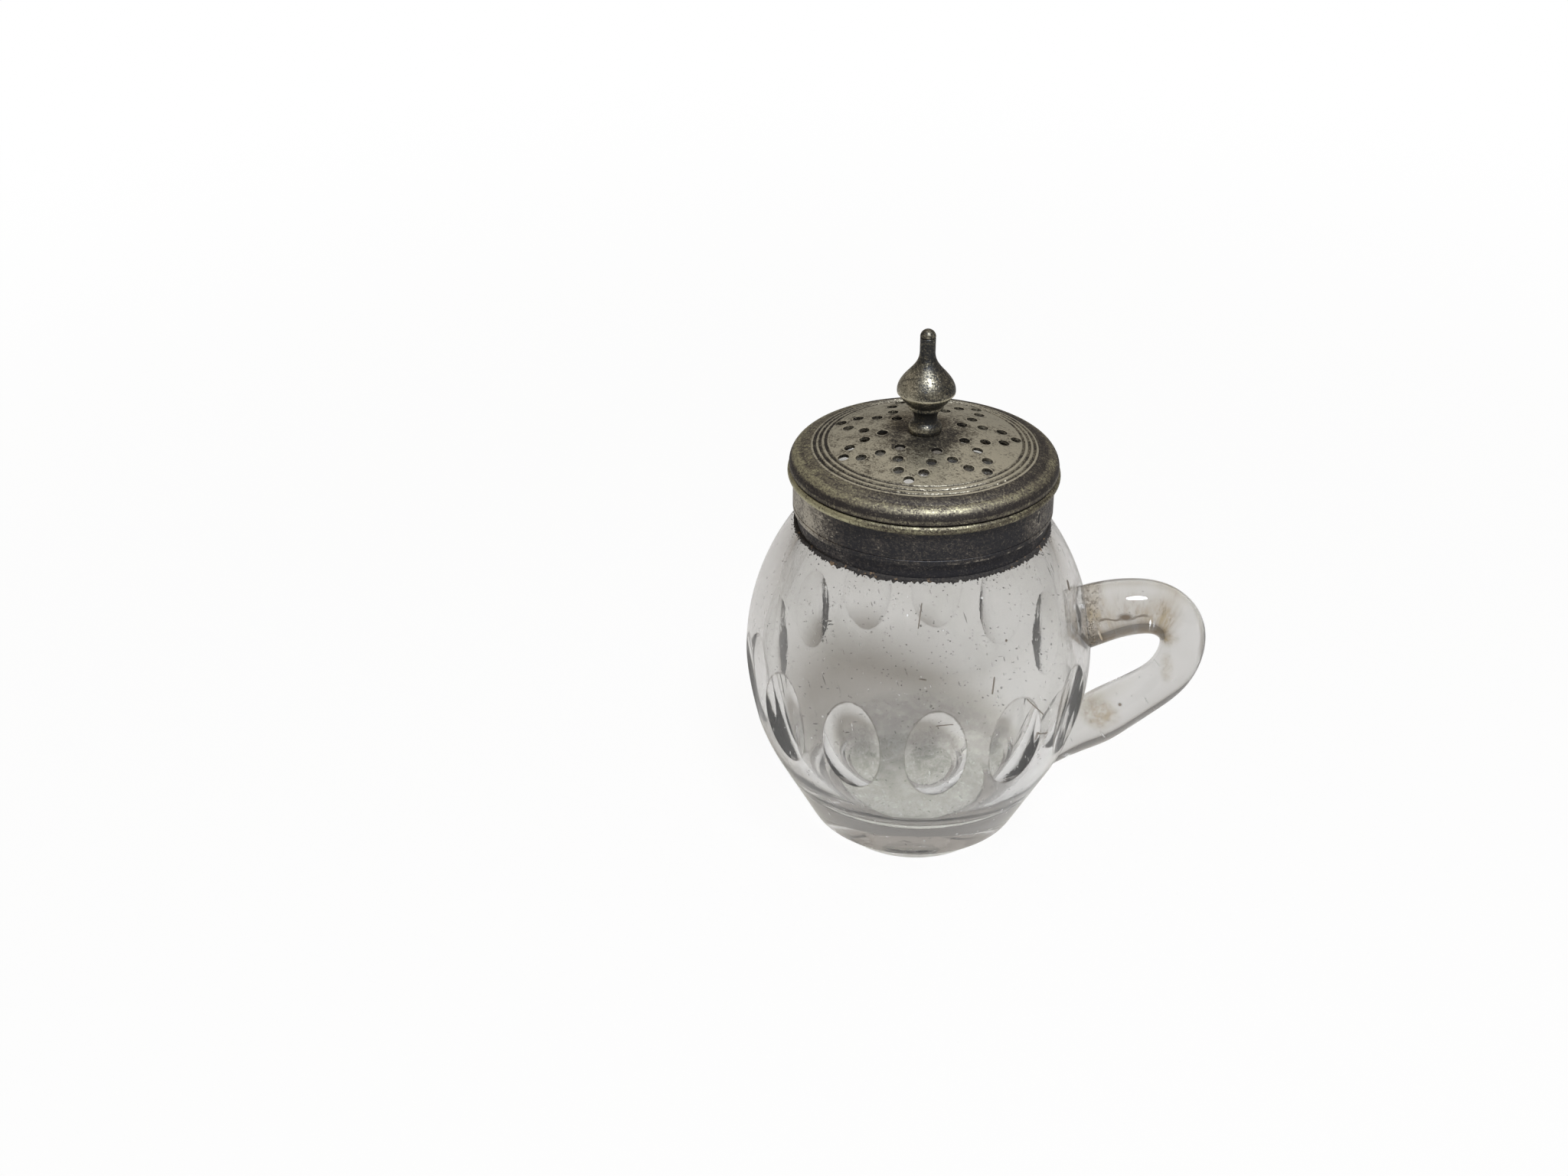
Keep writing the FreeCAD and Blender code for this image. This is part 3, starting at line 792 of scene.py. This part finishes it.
# %% Handle's ends
heading = Vector((cos(stations[0][1]), 0, sin(stations[0][1])))
cap, cap_edges = first_ring, first_edges
root = first_ring[:]
for shrink in (0.75, 0.5, 0.25):
    grown = bmesh.ops.extrude_edge_only(handle_bm, edges=cap_edges)["geom"]
    cap = [item for item in grown if isinstance(item, bmesh.types.BMVert)]
    cap_edges = [item for item in grown if isinstance(item, bmesh.types.BMEdge)]
    for vert, outer in zip(cap, first_ring):
        vert.co = stations[0][0].lerp(outer.co, shrink)
    root += cap
root += bmesh.ops.create_vert(handle_bm, co=stations[0][0])["vert"]
for edge in cap_edges:
    handle_bm.faces.new((*edge.verts, root[-1]))
bmesh.ops.contextual_create(handle_bm, geom=edges)
tail = bmesh.ops.poke(handle_bm, faces=[face for face in handle_bm.faces if len(face.verts) > 4])
for vert in handle_bm.verts:
    vert.co = sink_into_barrel(vert.co, heading if vert in root else None)
bmesh.ops.remove_doubles(handle_bm, verts=handle_bm.verts, dist=0.02)
bmesh.ops.recalc_face_normals(handle_bm, faces=handle_bm.faces)
handle = piece("handle", handle_bm, handle_glass, "bottle", ["glass_handle"], crease=40)

# %% [markdown]
# The collar sits in plaster. Most of it is hidden, but a dark ragged edge has squeezed out over the
# shoulder of the glass, and crumbs of it cling below. The edge is turned first and then dragged down
# the shoulder by an uneven amount.

# %% Plaster under the collar
LIP_THICKNESS = 0.12
LIP_STEPS = 8
LIP_TURN = 0.9

plaster_paint = Paint("dark_plaster")
r, z, x, y = plaster_paint.axes()
crumbly = plaster_paint.noise(0.35, 11, 4.0, 0.65)
stained = plaster_paint.noise(2.5, 12, 3.0)
plaster_tint = plaster_paint.blend(crumbly.between(0.4, 0.65), (38, 36, 36), (66, 62, 58))
plaster_tint = plaster_paint.blend(r.between(19.2, 18.2) * stained.between(0.35, 0.6), plaster_tint, (150, 140, 122))
rusty = plaster_paint.noise(1.1, 18, 3.0, 0.6).between(0.6, 0.67)
plaster_tint = plaster_paint.blend(rusty * 0.6, plaster_tint, (146, 122, 94))
plaster = plaster_paint.finish(Base_Color=plaster_tint, Roughness=0.9, Normal=plaster_paint.bump(crumbly * 0.15, 1.0))


def on_shoulder(angle, lift):
    """A point a little above the glass shoulder, at an angle of the barrel's long arc."""
    return (BELLY_ARC_X + (BELLY_ARC_R + lift) * cos(radians(angle)), BELLY_Z + (BELLY_ARC_R + lift) * sin(radians(angle)))


lip_end = SEAT_ANGLE - LIP_TURN
plaster_line = Outline(18.45, 61.3)
plaster_line.line(18.45, 56.6, 6).line(19.9, 56.52, 6)
plaster_line.line(*on_shoulder(SEAT_ANGLE, LIP_THICKNESS + 0.12), 2)
plaster_line.line(*on_shoulder(lip_end, LIP_THICKNESS * 0.7), LIP_STEPS)
plaster_line.line(*on_shoulder(lip_end - 0.15, 0.01), 1)
plaster_line.line(*on_shoulder(SEAT_ANGLE, 0.02), LIP_STEPS)
plaster_line.line(18.15, 56.22, 5).line(17.64, 56.75, 3).line(17.64, 61.2, 6).line(18.45, 61.3, 2)
plaster_bm = plaster_line.turned(36, 25)
for vert in plaster_bm.verts:
    spot = vert.co
    r = hypot(spot.x, spot.y)
    out = Vector((r - BELLY_ARC_X, spot.z - BELLY_Z))
    angle = degrees(atan2(out.y, out.x))
    round_the_rim = Vector((spot.x, spot.y, 0)) / r * 20
    drag = 0.5 + 0.3 * noise.noise(round_the_rim / 3.0) + 0.35 * noise.noise(round_the_rim / 0.7)
    drag += 0.6 * noise.noise(round_the_rim / 0.3)
    if angle < SEAT_ANGLE - 0.01 and r > 19.9:
        new_angle = SEAT_ANGLE - (SEAT_ANGLE - angle) * max(0.05, drag)
        lift = out.length - BELLY_ARC_R
        rough = noise.noise(spot * 4.0) * 0.06 if lift > 0.05 else 0
        r_new, z_new = on_shoulder(new_angle, lift + rough)
        vert.co = Vector((spot.x / r * r_new, spot.y / r * r_new, z_new))
cement = piece("plaster_bed", plaster_bm, plaster, "bottle", ["collar_cement"], crease=60)

# %% Crumbs of plaster
CRUMBS = 260
draw = random.Random(12)
crumb_bm = bmesh.new()
for k in range(CRUMBS):
    azimuth = draw.uniform(0, 2 * pi)
    fall = draw.random() ** 2 * 1.6
    size = draw.uniform(0.04, 0.09)
    r, z = on_shoulder(SEAT_ANGLE - 0.5 - fall, size * 0.5)
    place = Matrix.Translation((r * cos(azimuth), r * sin(azimuth), z)) @ Matrix.Rotation(azimuth, 4, "Z")
    squeeze = Matrix.Diagonal((1, draw.uniform(0.6, 1.6), draw.uniform(0.6, 1.8), 1))
    bmesh.ops.create_icosphere(crumb_bm, subdivisions=1, radius=size, matrix=place @ squeeze)
crumbs = piece("plaster_crumbs", crumb_bm, plaster, "bottle", crease=80)

# %% [markdown]
# The cover is plated base metal that has gone nearly black in the hollows and on the flat wall, and
# is rubbed back to a warm pale metal on every round that a hand or a cloth meets. So each finish is
# one mix of three colours: dark tarnish, brown tarnish and rubbed metal. Only the masks differ. On
# the wall and the rim, the masks also hold the painted shade and highlight of a dent, and a painted
# reflection under the roll.


# %% Tarnished metal
def metal(name, wear_and_painted_light, dark, brown, bright, grain=1.0, shine=0.26, scratched=0.5, lined=0.3, cloudy=0.5,
          dished=None):
    """Tarnished plate. The mask function says where the tarnish is worn away, from 0 to 1. On the wall and the rim, it
    also holds painted shade, highlight and reflection.
    """
    paint = Paint(name)
    r, z, x, y = paint.axes()
    worn = wear_and_painted_light(paint, r, z, x, y)
    cloud = paint.noise(3.2 * grain, 21, 4.0, 0.6)
    speckle = paint.noise(0.5 * grain, 22, 3.0, 0.75)
    streak = paint.streaks(5.0, 0.25 * grain, 27, 3.0, 0.7)
    scratch = paint.dashes((3.6, 0.32, 0.32), scratched, 24, (0, 10, 50), 0.42)
    scratch = scratch.most(paint.dashes((0.3, 3.0, 0.3), scratched, 25, (20, 0, 15), 0.42))
    scratch = scratch.most(paint.dashes((0.3, 0.3, 3.0), scratched, 23, (70, 15, 0), 0.42))
    gouge = paint.dashes((3.0, 0.34, 0.34), scratched * 0.8, 28, (25, -30, -35), 0.42)
    gouge = gouge.most(paint.dashes((0.34, 2.2, 0.34), scratched * 0.8, 29, (-10, 10, -60), 0.42))
    pits = paint.dashes(0.9, 0.3, 26, width=0.28)
    share = worn + (cloud - 0.5) * cloudy + (speckle - 0.5) * 1.3 + (streak - 0.5) * lined
    share = (share + scratch * 0.22 - gouge.most(pits) * 0.3).clamped()
    tint = paint.blend(share.between(0.0, 0.5), dark, brown)
    tint = paint.blend(share.between(0.35, 0.95), tint, bright)
    rough = (shine + (1 - share) * 0.24 + (speckle - 0.5) * 0.2 + (streak - 0.5) * 0.1 + scratch * 0.05).clamped()
    height = speckle * 0.014 + cloud * 0.03 + streak * lined * 0.012 - scratch * 0.008 - gouge.most(pits) * 0.018
    if dished:
        height = height + dished(paint, r, z, x, y)
    return paint.finish(Base_Color=tint, Metallic=0.9, Roughness=rough, Normal=paint.bump(height, 1.0))


def dress(node, material):
    """Gives a solid its finish."""
    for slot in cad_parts[node].material_slots:
        slot.material = material


# %% [markdown]
# Heights and radii that the masks speak of are read from the solids' boxes, so they stay right if
# the part changes.

# %% Where the parts of the cover are
MM = 1000.0
skirt_low, skirt_high = (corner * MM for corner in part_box("cover_skirt"))
rim_low, rim_high = (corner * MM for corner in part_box("cover_rim"))
bead_low, bead_high = (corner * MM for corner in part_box("cover_bead"))
top_low, top_high = (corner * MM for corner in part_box("cover_top"))
knob_low, knob_high = (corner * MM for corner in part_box("finial"))
knob_foot = top_high.z
print("cover from", round(skirt_low.z, 2), "to", round(top_high.z, 2), "knob to", round(knob_high.z, 2))


# %% Cover's wall and the band below it
DENT_ANGLE = radians(-29.6)
DENT_Z = 62.3


def wall_wear_and_dent_shading(paint, r, z, x, y):
    patchy = paint.noise((2.0, 2.0, 9.0), 34).between(0.45, 0.6)
    edge = (z - skirt_low.z).between(0.4, 0.1) * x.between(-4.0, 10.0) * patchy * 0.35
    left = x.between(-10.5, -18.0) * 0.6
    right = x.between(13.0, 19.5) * 0.25
    inner = (r - skirt_high.x).between(-0.5, -0.9) * 0.4
    # The dent is only painted: a darker spot with a lighter ring round it is painted shade and highlight, while the
    # wall keeps its smooth shape.
    dent_x, dent_y = cos(DENT_ANGLE) * skirt_high.x, sin(DENT_ANGLE) * skirt_high.x
    across = (x * -sin(DENT_ANGLE) + y * cos(DENT_ANGLE)) / 0.4
    upright = (z - DENT_Z) / 0.9
    near = (x * dent_x + y * dent_y).between(0.0, 1.0)
    away = (across * across + upright * upright).root()
    painted_dent_shading = (away.between(1.0, 0.7) * -0.4 + (away - 1.25).size().between(0.35, 0.1) * 0.22) * near
    return paint.noise(4.0, 31, 3.0).between(0.35, 0.75) * 0.16 + edge + left + right + inner + painted_dent_shading + 0.05


def rubbed_band(paint, r, z, x, y):
    left = x.between(-6.0, -16.0) * 0.2
    return paint.noise(3.0, 32, 3.0).between(0.45, 0.75) * 0.2 + left + 0.05


dress("cover_skirt", metal("skirt_metal", wall_wear_and_dent_shading, (58, 58, 61), (94, 89, 84), (190, 184, 170),
                           1.0, 0.36, 0.45, 0.3, 0.2))
dress("collar_band", metal("band_metal", rubbed_band, (58, 58, 62), (92, 88, 86), (180, 176, 168), 0.8, 0.4))


# %% Bead and rim
def rubbed_bead(paint, r, z, x, y):
    crown = (r - skirt_high.x).between(0.1, 0.45)
    patches = paint.noise(3.0, 33, 3.0).between(0.42, 0.62)
    return crown * (0.36 + x.between(-4.0, -14.0) * 0.4) + patches * 0.16


def rim_wear_and_reflection(paint, r, z, x, y):
    roll = (z - rim_high.z).between(-1.9, -1.2) * (r - 19.0).between(0.0, 0.8)
    facing = 0.44 - x.between(12.0, 21.0) * 0.08 + x.between(-7.0, -18.0) * 0.15
    shoulder = (r - 19.7).between(0.0, -0.8) * (0.1 + x.between(-2.0, -14.0) * 0.3)
    # Under the roll, a thin lighter band is a painted reflection.
    below = (z - rim_high.z + 2.75).size().between(0.4, 0.1) * 0.3
    return roll * facing + shoulder + below + 0.04


dress("cover_bead", metal("bead_metal", rubbed_bead, (62, 58, 54), (106, 100, 86), (186, 182, 150),
                          0.7, 0.38, 0.4, 0.4, 0.3))
dress("cover_rim", metal("rim_metal", rim_wear_and_reflection, (66, 62, 60), (117, 111, 98), (188, 184, 152),
                         0.8, 0.41, 0.4, 0.5))


# %% [markdown]
# The small holes were punched by hand, so each one has a dished, worn edge that catches the light, and
# a dark wall. The star repeats seven times. So a point is first turned into one arm of the star and
# mirrored there, and then only four holes are left to measure from.

# %% Star of holes
STAR_TURN = 4.0
STAR_POINTS = 7
STAR_PITCH = 360 / STAR_POINTS
HOLE_R = 0.85
VALLEY_R = 6.6
ARM_HOLES = ((14.2, 0.0), (12.3, 9.0), (9.55, 15.7), (VALLEY_R, STAR_PITCH / 2))
GROOVES = (15.4, 16.3, 17.15)


def from_hole(paint, r, x, y):
    """Distance from the edge of the nearest hole: below zero in the hole."""
    turn = y.maths("ARCTAN2", y, x) - radians(STAR_TURN)
    arm = (turn.maths("WRAP", turn, radians(STAR_PITCH / 2), radians(-STAR_PITCH / 2))).size()
    across, along = r * arm.maths("SINE", arm), r * arm.maths("COSINE", arm)
    nearest = None
    for radius, angle in ARM_HOLES:
        dx = along - radius * cos(radians(angle))
        dy = across - radius * sin(radians(angle))
        away = (dx * dx + dy * dy).root() - HOLE_R
        nearest = away if nearest is None else nearest.least(away)
    return nearest


# %% Pierced top
def rubbed_top(paint, r, z, x, y):
    spread = r + (paint.noise(3.0, 41, 3.0) - 0.5) * 6.0
    dark_middle = spread.between(9.5, 4.0)
    grooves = (r - GROOVES[0]).size().between(0.32, 0.14)
    for groove in GROOVES[1:]:
        grooves = grooves.most((r - groove).size().between(0.32, 0.14))
    ridges = r.between(14.7, 15.1) * r.between(17.9, 17.5) * 0.2
    patches = paint.noise((4.0, 2.0, 3.0), 42, 4.0, 0.6).between(0.3, 0.7) * 0.3
    edge = r.between(13.0, 17.0) * x.between(6.0, -10.0) * 0.15
    edge = edge + r.between(17.55, 17.9) * (0.34 - x.between(-2.0, -14.0) * 0.2)
    hole = from_hole(paint, r, x, y)
    lit = (hole - 0.1).size().between(0.14, 0.03) * paint.noise(1.0, 46).between(0.4, 0.6) * 0.35
    soiled = (hole - 0.3).size().between(0.4, 0.0) * paint.noise(1.2, 45, 3.0).between(0.45, 0.6) * 0.35
    walls = hole.between(0.02, -0.01)
    right = x.between(2.0, 12.0) * 0.16
    return 0.62 + right + patches + lit + ridges - soiled - dark_middle * 0.55 - grooves * 0.85 - edge - walls * 0.7


def dished_top(paint, r, z, x, y):
    return from_hole(paint, r, x, y).between(0.0, 0.4) * 0.05


# %% Knob and the hidden metal
KNOB_RIDGE = 6.75
KNOB_LIP = 4.45


def rubbed_knob(paint, r, z, x, y):
    up = z - knob_foot
    bulb = up.between(6.4, 6.9) * up.between(12.8, 9.0) * 0.22
    ridge = (up - KNOB_RIDGE).size().between(0.3, 0.12) * 0.6
    lip = (up - KNOB_LIP).size().between(0.3, 0.1) * 0.2
    waist = up.between(2.0, 2.6) * up.between(4.4, 4.0) * 0.2
    foot = up.between(0.5, 0.9) * up.between(1.7, 1.2) * 0.25
    tip = up.between(15.85, 16.05) * 0.2 + x.between(0.0, -3.0) * 0.3
    patches = paint.noise((1.8, 1.8, 0.9), 43, 3.0, 0.6).between(0.3, 0.7) * 0.26
    return bulb + ridge + lip + foot + tip + patches - waist


def rubbed_inside(paint, r, z, x, y):
    return paint.noise(2.2, 44, 4.0).between(0.35, 0.7) * 0.5 + 0.1


dress("cover_top", metal("top_metal", rubbed_top, (62, 59, 56), (126, 120, 106), (208, 204, 185),
                         0.8, 0.32, 0.9, 0.15, 0.5, dished_top))
dress("finial", metal("knob_metal", rubbed_knob, (58, 59, 60), (108, 104, 92), (202, 196, 174),
                      0.5, 0.26, 0.5, 0.25, 0.6))
inside = metal("inside_metal", rubbed_inside, (60, 57, 54), (104, 94, 82), (196, 188, 168), 0.6, 0.4)
for node in ("collar_bezel", "finial_washer", "finial_nut"):
    dress(node, inside)

# %% [markdown]
# Salt and polish have dried in the two small holes in front of the knob, and closed them nearly to
# the top. Each plug is a flattened ball that fills its hole and stops just under the rim of it.

# %% Clogged holes
PLUG_R = 0.84
PLUG_BULGE = 0.3
PLUG_SINK = 0.4
DOME_R = 63.9
CLOGGED = (4.5, 5.5)

plug_bm = bmesh.new()
for place in CLOGGED:
    angle = radians(STAR_TURN + place * STAR_PITCH)
    centre = Vector((VALLEY_R * cos(angle), VALLEY_R * sin(angle), top_high.z - VALLEY_R ** 2 / (2 * DOME_R) - PLUG_SINK))
    flat = Matrix.Translation(centre) @ Matrix.Diagonal((PLUG_R, PLUG_R, PLUG_BULGE, 1))
    bmesh.ops.create_uvsphere(plug_bm, u_segments=24, v_segments=12, radius=1.0, matrix=flat)
plug_paint = Paint("dried_polish")
crust = plug_paint.noise(0.3, 51, 3.0, 0.7)
plug_tint = plug_paint.blend(crust.between(0.35, 0.65), (78, 74, 68), (120, 114, 104))
plug_material = plug_paint.finish(Base_Color=plug_tint, Roughness=0.8, Normal=plug_paint.bump(crust * 0.1, 1.0))
plugs = piece("hole_plugs", plug_bm, plug_material, "cover", crease=30)
